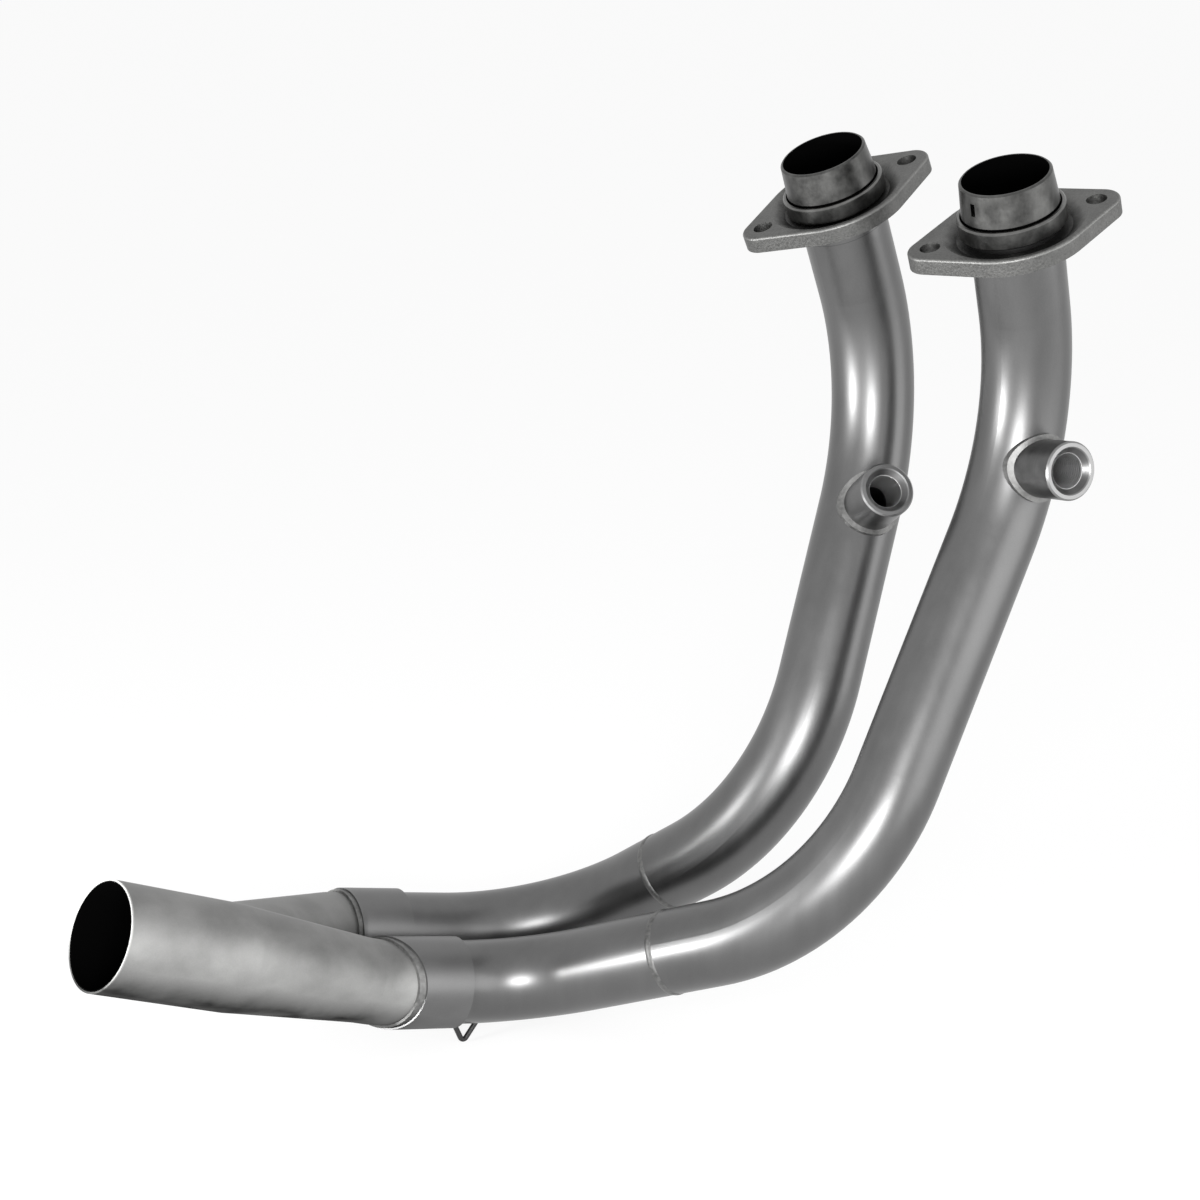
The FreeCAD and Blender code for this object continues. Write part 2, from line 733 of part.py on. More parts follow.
def slab(name, side, height):
    """Square block that stands on the plane of a socket's welded end."""
    block = add("Part::Box", name, Length="2 * tube_od", Width="2 * tube_od", Height=height)
    half = size("tube_od")
    block.Placement = socket_end(side).multiply(Placement(Vector(-half, -half, 0), Rotation()))
    return block


def socket_sleeve(side):
    name = camel(side, "socket")
    route = route_object(name + "Route", elbow_wire(side, socket_mouth(side)))
    outside = swept(name + "Outside", route, SOCKET)
    bore = swept(name + "Bore", route, SOCKET + " - socket_wall")
    waste = slab(name + "Waste", side, "2 * tube_od")
    subpart(cut(name, outside, bore, waste), side + "_socket")
    return route


def socket_weld(side, route, collector_outside):
    """Band laid on the collector's tube against the socket's welded end."""
    name = camel(side, "socket", "weld")
    band = swept(name + "Band", route, "tube_od / 2 + socket_bead_height")
    layer = slab(name + "Layer", side, "socket_bead_width")
    block = common(name + "Block", band, layer)
    subpart(cut(name, block, collector_outside), side + "_socket_weld")


def spring_hook(side, pipe_outside):
    """V of wire that stands on the pipe just ahead of its socket."""
    middle = socket_mouth(side) - SLIP * size("hook_ahead")
    out = frame(middle, SLIP, Vector(0, 0, -1), size("hook_roll_angle")).Rotation.multVec(Vector(1, 0, 0))
    surface = middle + out * size("tube_od / 2")
    corner = surface + out * size("hook_stand")
    feet = [surface + SLIP * size("hook_spread / 2") * turn for turn in (-1, 1)]
    roots = [foot + (foot - corner).normalize() * size("2 * hook_wire") for foot in feet]
    name = camel(side, "spring", "hook")
    route = route_object(name + "Route", wire_through([roots[0], corner, roots[1]], [size("hook_bend")]))
    wire = swept(name + "Wire", route, "hook_wire / 2")
    subpart(cut(name, wire, pipe_outside), side + "_spring_hook")


def build():
    collector_outside = collector()
    for side in SIDES:
        lengths = {}
        for piece, wire in pipe_routes(side):
            drill = sensor_drill(side) if piece == "upper_pipe" else None
            lengths[piece] = pipe_length(side, piece, wire, drill)
        pipe_weld(side)
        spigot(side)
        collar_ring(side)
        flange_plate(side)
        flange_weld(side)
        sensor_boss(side, *lengths["upper_pipe"])
        socket_route = socket_sleeve(side)
        socket_weld(side, socket_route, collector_outside)
        spring_hook(side, lengths["lower_pipe"][1])
    doc.recompute()


def check():
    for thing in doc.Objects:
        if "Invalid" in thing.State or "Error" in thing.State:
            raise RuntimeError("%s failed: %s" % (thing.Name, thing.State))
    for thing in subparts:
        if thing.Shape.isNull() or not thing.Shape.isValid():
            raise RuntimeError("%s has no valid shape" % thing.Label)


def write():
    os.makedirs("parts", exist_ok=True)
    for thing in subparts:
        thing.Shape.exportStep("parts/%s.step" % thing.Label)
        print("%-22s solids %d  volume %9.1f mm3" % (thing.Label, len(thing.Shape.Solids), thing.Shape.Volume))


build()
check()
write()
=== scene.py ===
"""Finishes and studio for a two-into-one motorcycle exhaust header."""

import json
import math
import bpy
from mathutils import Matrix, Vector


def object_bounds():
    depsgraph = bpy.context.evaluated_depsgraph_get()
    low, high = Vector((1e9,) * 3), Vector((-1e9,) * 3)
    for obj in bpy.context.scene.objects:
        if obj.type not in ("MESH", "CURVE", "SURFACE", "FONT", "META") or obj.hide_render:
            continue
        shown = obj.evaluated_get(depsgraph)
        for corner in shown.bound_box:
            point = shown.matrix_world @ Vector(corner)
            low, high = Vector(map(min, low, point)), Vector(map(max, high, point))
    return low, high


bl_info = {
    "name": "Exhaust Header Finishes",
    "version": (1, 0, 0),
    "blender": (4, 5, 0),
    "location": "3D Viewport > Sidebar > Header",
    "description": "Stainless, weld, soot and wire finishes for an exhaust header, and its studio",
    "category": "Material",
}

import bpy
from bpy.props import FloatProperty, FloatVectorProperty, PointerProperty
from mathutils import Matrix, Vector

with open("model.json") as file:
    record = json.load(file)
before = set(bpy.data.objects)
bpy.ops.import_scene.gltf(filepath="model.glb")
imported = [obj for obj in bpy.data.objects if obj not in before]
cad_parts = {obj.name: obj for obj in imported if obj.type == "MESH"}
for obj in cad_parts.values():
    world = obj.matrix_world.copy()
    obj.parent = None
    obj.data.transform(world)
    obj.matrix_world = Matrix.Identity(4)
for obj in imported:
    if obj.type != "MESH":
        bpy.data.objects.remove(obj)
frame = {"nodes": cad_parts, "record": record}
CAD_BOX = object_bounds()
NODES = frame["nodes"]
MOUNTS = {mount["name"]: mount for mount in frame["record"]["mounts"]}
SIDES = ("right", "left")
MM = 0.001

# Radii of the tubes and of the spigots' seats, in metres
PIPE_RADIUS = 0.0210
PIPE_BORE = 0.0195
OUTLET_BORE = 0.0239
LEFT_JOIN_BORE = 0.0210
SEAT_RADIUS = 0.0230

# Straight runs that can be seen from inside, in metres: start, end and the bore's radius at each
BORES = {
    "outlet": ((0.0, 0.0, 0.0), (0.0474, -0.0045, -0.0251), OUTLET_BORE, OUTLET_BORE),
    "right branch": ((0.0616, -0.0056, -0.0327), (0.1306, -0.0102, -0.0700), OUTLET_BORE, PIPE_BORE),
    "left branch": ((0.0501, -0.0047, -0.0265), (0.1398, 0.0379, -0.0681), LEFT_JOIN_BORE, PIPE_BORE),
    "right neck": ((0.3916, -0.1860, 0.2774), (0.4006, -0.1849, 0.2519), PIPE_BORE, PIPE_BORE),
    "left neck": ((0.3892, -0.0850, 0.2789), (0.4019, -0.0851, 0.2500), PIPE_BORE, PIPE_BORE),
}

# How the masks meet the metal, in metres: the width of a crisp and of a soft edge, how far a bore's
# mask reaches into the wall, and how far a mask goes past the metal
SOFT_EDGE = 0.0002
WIDE_EDGE = 0.0004
WALL_REACH = 0.0007
MARGIN = 0.0005

# Below the collar's face, in metres: the stub's joint, half its dark line's width, and the level down to
# which the stub's bore is blackened with soot and painted shade, with its fade
STUB_JOINT = 0.0224
HALF_LINE = 0.0002
STUB_BORE_END = 0.0255
STUB_BORE_FADE = 0.001

# Round the collar's face, in metres: the top of the painted shadow in the groove, and the band of painted
# highlight on the collar's upper edge
GROOVE_TOP = 0.0006
COLLAR_HIGHLIGHT_TOP = 0.0003
COLLAR_HIGHLIGHT_DEPTH = 0.0010

# Painted shade and grime in a plate's recess, in metres: its radius, its fade and how far its edge
# wanders
RECESS_RADIUS = 0.0285
RECESS_FADE = 0.006
RECESS_WANDER = 0.006

# Along the collector, in metres: the fade of the painted shade along the belly and how far its edge
# wanders, the level above which the top gets painted shade and that shade's fade, and the depth of the
# bright lip
BELLY_SHADE_FADE = 0.013
BELLY_SHADE_WANDER = 0.014
TOP_SHADE_LINE = -0.012
TOP_SHADE_FADE = 0.02
LIP_DEPTH = 0.0007

# On a boss, in metres: the bright rim's height above the thread and its radius, and the thread's pitch
RIM_HEIGHT = 0.0022
RIM_RADIUS = 0.0108
THREAD_PITCH = 0.0015

# Studio, in millimetres for the sensor and metres for the rest
SENSOR_WIDTH = 36.0
CLIP_START = 0.01
FLOOR_HALF = 30.0
FLOOR_GAP = 0.0005
WHITE = (1.0, 1.0, 1.0, 1.0)
PALE = (0.9, 0.9, 0.9, 1.0)
FLOOR_GLOW = 0.8


# Sizes and colours that a user would change

class TubeFinish(bpy.types.PropertyGroup):
    """Satin finish of the bent pipes"""
    colour: FloatVectorProperty(
        name="Tube colour", description="Reflected colour of the drawn tube", subtype="COLOR",
        size=3, min=0.0, max=1.0, default=(0.14, 0.14, 0.14))
    roughness: FloatProperty(
        name="Tube roughness", description="Spread of the tube's reflections", subtype="FACTOR",
        min=0.0, max=1.0, default=0.36)
    streak: FloatProperty(
        name="Streaks", description="Strength of the drawing streaks along the tube", subtype="FACTOR",
        min=0.0, max=1.0, default=0.16)
    joint: FloatProperty(
        name="Stub joint", description="Depth of the dark line where the port's stub ends",
        subtype="FACTOR", min=0.0, max=1.0, default=0.3)


class CollectorFinish(bpy.types.PropertyGroup):
    """Matt finish of the formed collector"""
    colour: FloatVectorProperty(
        name="Collector colour", description="Reflected colour of the formed sheet", subtype="COLOR",
        size=3, min=0.0, max=1.0, default=(0.32, 0.32, 0.315))
    lip: FloatVectorProperty(
        name="Lip colour", description="Colour of the bright cut edge at the outlet", subtype="COLOR",
        size=3, min=0.0, max=1.0, default=(0.45, 0.45, 0.44))
    roughness: FloatProperty(
        name="Collector roughness", description="Spread of the sheet's reflections", subtype="FACTOR",
        min=0.0, max=1.0, default=0.56)
    stain: FloatProperty(
        name="Stains", description="Strength of the blotches on the sheet", subtype="FACTOR",
        min=0.0, max=1.0, default=0.34)
    # Strength of the painted shade along the collector's belly
    grime: FloatProperty(
        name="Grime", description="Cover of the grime along the belly", subtype="FACTOR",
        min=0.0, max=1.0, default=0.88)
    # Depth below the outlet's axis past which the belly gets painted shade
    grime_line: FloatProperty(
        name="Grime line", description="From the outlet's axis down to where the grime starts",
        subtype="DISTANCE", unit="LENGTH", min=-0.05, max=0.05, default=0.011, precision=4)
    # Strength of the painted shade along the collector's top
    crown: FloatProperty(
        name="Crown", description="Darkening of the sheet along the collector's top", subtype="FACTOR",
        min=0.0, max=1.0, default=0.3)


class PortFinish(bpy.types.PropertyGroup):
    """Finishes of the flange plates, collars and spigots"""
    plate: FloatVectorProperty(
        name="Plate colour", description="Colour of the blasted flange plates", subtype="COLOR",
        size=3, min=0.0, max=1.0, default=(0.13, 0.13, 0.127))
    spigot: FloatVectorProperty(
        name="Spigot colour", description="Colour of the mottled spigots and collars", subtype="COLOR",
        size=3, min=0.0, max=1.0, default=(0.078, 0.078, 0.076))
    # Strength of the painted shade and grime in the plates' recess
    grime: FloatProperty(
        name="Recess grime", description="Cover of the grime in the plates' recess", subtype="FACTOR",
        min=0.0, max=1.0, default=0.62)
    grain: FloatProperty(
        name="Plate grain", description="Size of the blasted grain", subtype="DISTANCE", unit="LENGTH",
        min=0.0002, max=0.01, default=0.0011, precision=4)


class FittingFinish(bpy.types.PropertyGroup):
    """Finishes of bosses, welds and hooks, and the black of soot and painted shade"""
    boss: FloatVectorProperty(
        name="Boss colour", description="Colour of the turned sensor bosses", subtype="COLOR",
        size=3, min=0.0, max=1.0, default=(0.115, 0.115, 0.115))
    weld: FloatVectorProperty(
        name="Weld colour", description="Colour of the weld metal", subtype="COLOR",
        size=3, min=0.0, max=1.0, default=(0.34, 0.34, 0.335))
    wire: FloatVectorProperty(
        name="Hook colour", description="Colour of the spring hooks' wire", subtype="COLOR",
        size=3, min=0.0, max=1.0, default=(0.004, 0.004, 0.004))
    # The black of soot, painted shade and the stubs' dark joint lines
    soot: FloatVectorProperty(
        name="Soot colour", description="Colour of the sooty bores", subtype="COLOR",
        size=3, min=0.0, max=1.0, default=(0.0015, 0.0015, 0.0015))


class StudioSetup(bpy.types.PropertyGroup):
    """Camera, lamps and floor"""
    distance: FloatProperty(
        name="Camera distance", description="From the aim to the camera", subtype="DISTANCE",
        unit="LENGTH", min=0.2, max=5.0, default=1.0)
    azimuth: FloatProperty(
        name="Camera azimuth", description="Direction of the camera round the header, in degrees",
        min=-180.0, max=180.0, default=-43.2)
    elevation: FloatProperty(
        name="Camera elevation", description="Height of the camera above the horizon, in degrees",
        min=-90.0, max=90.0, default=19.7)
    lens: FloatProperty(
        name="Lens", description="Focal length on a 36 mm wide sensor, in millimetres",
        min=10.0, max=300.0, default=59.87)
    aim: FloatVectorProperty(
        name="Aim", description="Point that the camera looks at", subtype="TRANSLATION",
        unit="LENGTH", size=3, default=(0.2711, -0.03435, 0.1004))
    key: FloatProperty(
        name="Key lamp", description="Power of the lamp beside the camera", unit="POWER",
        min=0.0, max=500.0, default=6.5)
    side: FloatProperty(
        name="Side lamp", description="Power of the lamp at the outlet's side", unit="POWER",
        min=0.0, max=500.0, default=7.0)
    front: FloatProperty(
        name="Front lamp", description="Power of the soft lamp ahead of the ports", unit="POWER",
        min=0.0, max=500.0, default=14.0)
    fill: FloatProperty(
        name="Sky", description="Strength of the soft light from all round",
        min=0.0, max=5.0, default=0.85)


class HeaderSettings(bpy.types.PropertyGroup):
    """All settings of the header"""
    tube: PointerProperty(type=TubeFinish)
    collector: PointerProperty(type=CollectorFinish)
    port: PointerProperty(type=PortFinish)
    fitting: PointerProperty(type=FittingFinish)
    studio: PointerProperty(type=StudioSetup)


def settings():
    """The header's settings in the open scene"""
    return bpy.context.scene.header


# Shader maths

class Signal:
    """A number, colour or vector that runs through the shader; numbers work in formulas"""

    def __init__(self, graph, socket):
        self.graph = graph
        self.socket = socket

    def maths(self, operation, *others):
        """Add a Math node that starts with this number"""
        return self.graph.add("ShaderNodeMath", {"operation": operation}, self, *others)

    def __add__(self, other):
        return self.maths("ADD", other)

    __radd__ = __add__

    def __sub__(self, other):
        return self.maths("SUBTRACT", other)

    def __rsub__(self, other):
        return (self * -1.0) + other

    def __mul__(self, other):
        return self.maths("MULTIPLY", other)

    __rmul__ = __mul__

    def most(self, other):
        """The greater of two numbers"""
        return self.maths("MAXIMUM", other)

    def clamped(self):
        """The number, kept between 0 and 1"""
        return self.maths("MINIMUM", 1.0).maths("MAXIMUM", 0.0)

    def swing(self, amount):
        """Turn a noise about 0.5 into one about 0 that swings by the amount"""
        return (self - 0.5) * amount

    def below(self, edge, soft):
        """1 where the number is under the edge, 0 above it, with a soft step between"""
        return ((edge - self) * (1.0 / soft) + 0.5).clamped()

    def above(self, edge, soft):
        """1 where the number is over the edge, 0 under it, with a soft step between"""
        return 1.0 - self.below(edge, soft)


class Graph:
    """The shader nodes of a material or of the world, under construction"""

    def __init__(self, owner, output):
        owner.use_nodes = True
        self.tree = owner.node_tree
        self.tree.nodes.clear()
        self.output = self.tree.nodes.new(output)

    def make(self, kind, options=None, *values, **named):
        """Add a node: its options first, then the values or links of its sockets"""
        node = self.tree.nodes.new(kind)
        for key, value in (options or {}).items():
            setattr(node, key, value)
        for index, value in enumerate(values):
            self.feed(node.inputs[index], value)
        for key, value in named.items():
            self.feed(node.inputs[key.replace("_", " ")], value)
        return node

    def add(self, kind, options=None, *values, output=0, **named):
        """Add a node and carry on with one of its outputs"""
        node = self.make(kind, options, *values, **named)
        return Signal(self, node.outputs[output])

    def feed(self, socket, value):
        """Link a socket to a signal or a node's output, or set its value; None leaves it as it is"""
        if value is None:
            return
        if isinstance(value, Signal):
            value = value.socket
        if isinstance(value, bpy.types.NodeSocket):
            self.tree.links.new(value, socket)
        else:
            socket.default_value = value

    def mix(self, mask, shader, other):
        """Pass from one shader to another by a mask"""
        return self.make("ShaderNodeMixShader", None, mask, shader.outputs[0], other.outputs[0])

    def show(self, shader):
        """Make a shader the one that is seen"""
        self.tree.links.new(shader.outputs[0], self.output.inputs["Surface"])

    def looked_at(self):
        """1 for rays that show something to the camera, a mirror or a glass, 0 for those that light it"""
        path = self.make("ShaderNodeLightPath")
        mask = Signal(self, path.outputs["Is Camera Ray"])
        for ray in ("Is Glossy Ray", "Is Transmission Ray"):
            mask = mask.most(path.outputs[ray])
        return mask


class Finish(Graph):
    """A material under construction"""

    def __init__(self, name):
        self.material = bpy.data.materials.new(name)
        super().__init__(self.material, "ShaderNodeOutputMaterial")

    def place(self):
        """Position in the header's own frame, in metres"""
        return self.add("ShaderNodeTexCoord", output="Object")

    def noise(self, cells, detail=3.0, roughness=0.5, stretch=None):
        """Cloudy numbers about 0.5, with so many cells per metre"""
        where = self.place()
        if stretch is not None:
            where = self.add("ShaderNodeVectorMath", {"operation": "MULTIPLY"}, where, stretch)
        return self.add("ShaderNodeTexNoise", None, where, output="Fac", Scale=cells, Detail=detail,
                        Roughness=roughness)

    def offset_from(self, point):
        """Vector from a point"""
        return self.add("ShaderNodeVectorMath", {"operation": "SUBTRACT"}, self.place(), tuple(point))

    def radius_from(self, point, axis):
        """Distance from a line"""
        across = self.add("ShaderNodeVectorMath", {"operation": "CROSS_PRODUCT"}, self.offset_from(point),
                          tuple(axis))
        return self.add("ShaderNodeVectorMath", {"operation": "LENGTH"}, across, output="Value")

    def share_along(self, vector, axis):
        """How far a vector points along an axis"""
        return self.add("ShaderNodeVectorMath", {"operation": "DOT_PRODUCT"}, vector, tuple(axis),
                        output="Value")

    def height_along(self, point, axis):
        """Signed distance along a line"""
        return self.share_along(self.offset_from(point), axis)

    def tint(self, colour, amount):
        """The colour, scaled by a number near 1"""
        return self.add("ShaderNodeVectorMath", {"operation": "SCALE"}, tuple(colour), Scale=amount)

    def blend(self, low, high, mask):
        """Mix two colours by a mask"""
        node = self.make("ShaderNodeMix", {"data_type": "RGBA"}, mask)
        colours = [socket for socket in node.inputs if socket.type == "RGBA"]
        self.feed(colours[0], with_alpha(low))
        self.feed(colours[1], with_alpha(high))
        return Signal(self, next(socket for socket in node.outputs if socket.type == "RGBA"))

    def bump(self, height, distance, strength):
        """Normals bent by a height; distance is in metres"""
        return self.add("ShaderNodeBump", None, output="Normal", Height=height, Distance=distance,
                        Strength=strength)

    def surface(self, colour, roughness, metallic, normal=None, soot=None):
        """Finish with a principled surface, under black soot and painted shade where a mask says so"""
        shader = self.make("ShaderNodeBsdfPrincipled", None, Base_Color=with_alpha(colour),
                           Roughness=roughness, Metallic=metallic, Normal=normal)
        if soot is not None:
            black = self.make("ShaderNodeBsdfDiffuse", None, with_alpha(tuple(settings().fitting.soot)))
            shader = self.mix(soot, shader, black)
        self.show(shader)
        return self.material


def with_alpha(colour):
    """A plain colour as a colour socket takes it; a signal is passed on"""
    return colour + (1.0,) if isinstance(colour, tuple) else colour


# Places and pieces of the header

def dress(material, *names):
    """Give CAD nodes a finish through their own material slots"""
    for name in names:
        for slot in NODES[name].material_slots:
            slot.material = material


def both(piece):
    """Names of the piece on each side"""
    return ["%s_%s" % (side, piece) for side in SIDES]


def mount_line(name):
    """A mount's point and axis"""
    mount = MOUNTS[name]
    return Vector(mount["pos_m"]), Vector(mount["axis"])


def port_line(side):
    """Centre of the collar's face and the port's axis"""
    point, axis = mount_line(side + "_port_bolts")
    lift = (mount_line(side + "_port_face")[0] - point).dot(axis)
    return point + axis * lift, axis


def inside_run(finish, bore):
    """1 on the inner skin of a straight run, 0 on its outer skin and past its ends"""
    start, end, near, far = BORES[bore]
    run = Vector(end) - Vector(start)
    axis = run.normalized()
    along = finish.height_along(start, axis)
    edge = along * ((far - near) / run.length) + (near + WALL_REACH)
    within = along.below(run.length, SOFT_EDGE) * along.above(-MARGIN, SOFT_EDGE)
    return finish.radius_from(start, axis).below(edge, SOFT_EDGE) * within


def inside(finish, *bores):
    """1 on the inner skin of any of the straight runs"""
    mask = inside_run(finish, bores[0])
    for bore in bores[1:]:
        mask = mask.most(inside_run(finish, bore))
    return mask


def belly_depth(finish, blotch):
    """Depth under the outlet's axis, with an edge that wanders with the blotches"""
    mouth, outlet = mount_line("outlet")
    below = outlet.cross(Vector((0.0, 1.0, 0.0))).normalized()
    return finish.height_along(mouth, below) + blotch.swing(BELLY_SHADE_WANDER)


def painted_belly_shade(depth):
    """Painted shade along the underside, which fades upwards"""
    sheet = settings().collector
    return depth.above(sheet.grime_line, BELLY_SHADE_FADE) * sheet.grime


# The header's finishes

class HEADER_OT_tubes(bpy.types.Operator):
    """Satin drawn tube with faint streaks, a dark line at each stub's end and a bore blackened with soot
    and painted shade
    """
    bl_idname = "header.tubes"
    bl_label = "Finish the pipes"

    def execute(self, context):
        tube = settings().tube
        finish = Finish("satin tube")
        cloud = finish.noise(cells=20.0)
        streak = finish.noise(cells=150.0, detail=2.0, stretch=(1.0, 1.0, 0.1))
        grain = finish.noise(cells=1500.0, detail=2.0)
        amount = 1.0 + cloud.swing(0.35) + streak.swing(tube.streak) + grain.swing(0.12)
        outside = finish.tint(tube.colour, amount)
        # Soot and painted shade blacken the bores of the necks and stubs
        soot = inside(finish, "right neck", "left neck")
        for side in SIDES:
            soot = soot.most(self.stub_soot(finish, side, tube.joint))
        roughness = tube.roughness + cloud.swing(0.14) + streak.swing(0.06)
        normal = finish.bump(grain + streak * 0.5, distance=0.00002, strength=0.5)
        skin = finish.surface(outside, roughness, 1.0, normal, soot)
        dress(skin, *both("port_stub"), *both("upper_pipe"), *both("middle_pipe"), *both("lower_pipe"))
        return {"FINISHED"}

    def stub_soot(self, finish, side, joint):
        """Soot and painted shade in a stub's bore, and the dark line across the tube where the stub ends
        """
        face, axis = port_line(side)
        height = finish.height_along(face, axis)
        radius = finish.radius_from(face, axis)
        bore = radius.below(PIPE_BORE + WALL_REACH, SOFT_EDGE)
        bore = bore * height.above(-STUB_BORE_END, STUB_BORE_FADE)
        past_joint = height + STUB_JOINT
        line = past_joint.below(HALF_LINE, SOFT_EDGE) * past_joint.above(-HALF_LINE, SOFT_EDGE)
        return bore.most(line * radius.below(PIPE_RADIUS + MARGIN, SOFT_EDGE) * joint)


class HEADER_OT_collector(bpy.types.Operator):
    """Matt, blotched sheet with a bright lip, painted shade along its belly and its top, and a bore
    blackened with soot and painted shade
    """
    bl_idname = "header.collector"
    bl_label = "Finish the collector"

    def execute(self, context):
        sheet = settings().collector
        finish = Finish("matt collector sheet")
        blotch = finish.noise(cells=38.0, detail=4.0, roughness=0.55)
        smear = finish.noise(cells=70.0, stretch=(0.35, 1.0, 1.0))
        grain = finish.noise(cells=1300.0, detail=2.0)
        amount = 1.0 + blotch.swing(sheet.stain * 2.0) + smear.swing(sheet.stain) + grain.swing(0.14)
        depth = belly_depth(finish, blotch)
        # Painted shade along the belly, mottled by the smears
        grime = painted_belly_shade(depth) * (0.6 + smear * 0.7)
        # Painted shade along the collector's top
        crown = depth.below(TOP_SHADE_LINE, TOP_SHADE_FADE) * sheet.crown
        lip = finish.height_along(*mount_line("outlet")).above(-LIP_DEPTH, SOFT_EDGE)
        outside = finish.tint(sheet.colour, amount * (1.0 - crown))
        outside = finish.blend(outside, tuple(sheet.lip), lip)
        # Soot and painted shade blacken the bores, and the belly's painted shade goes the same way
        soot = inside(finish, "outlet", "right branch", "left branch").most(grime)
        roughness = sheet.roughness + blotch.swing(0.2)
        normal = finish.bump(grain + blotch * 0.6, distance=0.00004, strength=0.5)
        dress(finish.surface(outside, roughness, 1.0, normal, soot), "collector")
        return {"FINISHED"}


class HEADER_OT_sockets(bpy.types.Operator):
    """Satin sleeves of the slip joints with a little painted shade underneath"""
    bl_idname = "header.sockets"
    bl_label = "Finish the sockets"

    def execute(self, context):
        finish = Finish("socket sleeve")
        cloud = finish.noise(cells=45.0)
        grain = finish.noise(cells=1300.0, detail=2.0)
        amount = 1.15 + cloud.swing(0.4) + grain.swing(0.14)
        colour = finish.tint(settings().tube.colour, amount)
        roughness = 0.42 + cloud.swing(0.15)
        normal = finish.bump(grain, distance=0.00002, strength=0.5)
        # Painted shade along the sleeves' underside
        grime = painted_belly_shade(belly_depth(finish, cloud)) * 0.6
        dress(finish.surface(colour, roughness, 1.0, normal, grime), *both("socket"))
        return {"FINISHED"}


class HEADER_OT_plates(bpy.types.Operator):
    """Blasted flange plates with a coarse grain, a painted highlight on the rounded edges, and painted
    shade with grime in the recess
    """
    bl_idname = "header.plates"
    bl_label = "Finish the flange plates"

    def execute(self, context):
        port = settings().port
        for side in SIDES:
            finish = Finish("%s blasted plate" % side)
            face, axis = port_line(side)
            grain = finish.noise(cells=1.0 / port.grain, roughness=0.6)
            patch = finish.noise(cells=110.0, roughness=0.55)
            slope = finish.share_along(finish.add("ShaderNodeNewGeometry", output="Normal"), axis)
            # Painted highlight on the rounded edges and the recess's slope, where the normal leans from
            # the axis
            edge = (slope * (1.0 - slope) * 4.0).clamped()
            upward = (slope * 3.0).clamped()
            # Painted shade with grime in the recess round the collar
            recess = finish.radius_from(face, axis) + patch.swing(RECESS_WANDER)
            grime = recess.below(RECESS_RADIUS, RECESS_FADE) * upward
            amount = 1.0 + grain.swing(0.9) + patch.swing(0.5) + edge * (1.0 - grime) * 0.5
            colour = finish.tint(port.plate, amount)
            roughness = 0.5 + grain.swing(0.25)
            normal = finish.bump(grain + patch * 0.5, distance=0.0003, strength=0.6)
            skin = finish.surface(colour, roughness, 1.0, normal, grime * port.grime)
            dress(skin, side + "_flange_plate")
        return {"FINISHED"}


class HEADER_OT_spigots(bpy.types.Operator):
    """Mottled spigots and collars, blackened inside with soot and painted shade, with a painted shadow in
    the groove between them and a painted highlight on the collar's upper edge
    """
    bl_idname = "header.spigots"
    bl_label = "Finish the spigots and collars"

    def execute(self, context):
        port = settings().port
        for side in SIDES:
            finish = Finish("%s mottled spigot" % side)
            face, axis = port_line(side)
            blotch = finish.noise(cells=130.0, detail=4.0, roughness=0.6)
            brush = finish.noise(cells=420.0, detail=2.0, stretch=(1.0, 1.0, 0.3))
            radius = finish.radius_from(face, axis)
            height = finish.height_along(face, axis)
            # Painted shadow in the groove between spigot and collar, drawn in the soot's black
            painted_groove_shadow = radius.below(SEAT_RADIUS, SOFT_EDGE) * height.below(GROOVE_TOP, WIDE_EDGE)
            soot = radius.below(PIPE_BORE + SOFT_EDGE, SOFT_EDGE).most(painted_groove_shadow)
            # Painted highlight along the collar's upper edge
            band = height.below(COLLAR_HIGHLIGHT_TOP, SOFT_EDGE) * height.above(-COLLAR_HIGHLIGHT_DEPTH, WIDE_EDGE)
            painted_collar_highlight = band * radius.above(SEAT_RADIUS + SOFT_EDGE, SOFT_EDGE)
            amount = 1.0 + blotch.swing(1.9) + brush.swing(0.4) + painted_collar_highlight * 0.9
            outside = finish.tint(port.spigot, amount)
            roughness = 0.36 + blotch.swing(0.3)
            normal = finish.bump(brush + blotch, distance=0.00008, strength=0.5)
            skin = finish.surface(outside, roughness, 1.0, normal, soot)
            dress(skin, side + "_spigot", side + "_collar_ring")
        return {"FINISHED"}


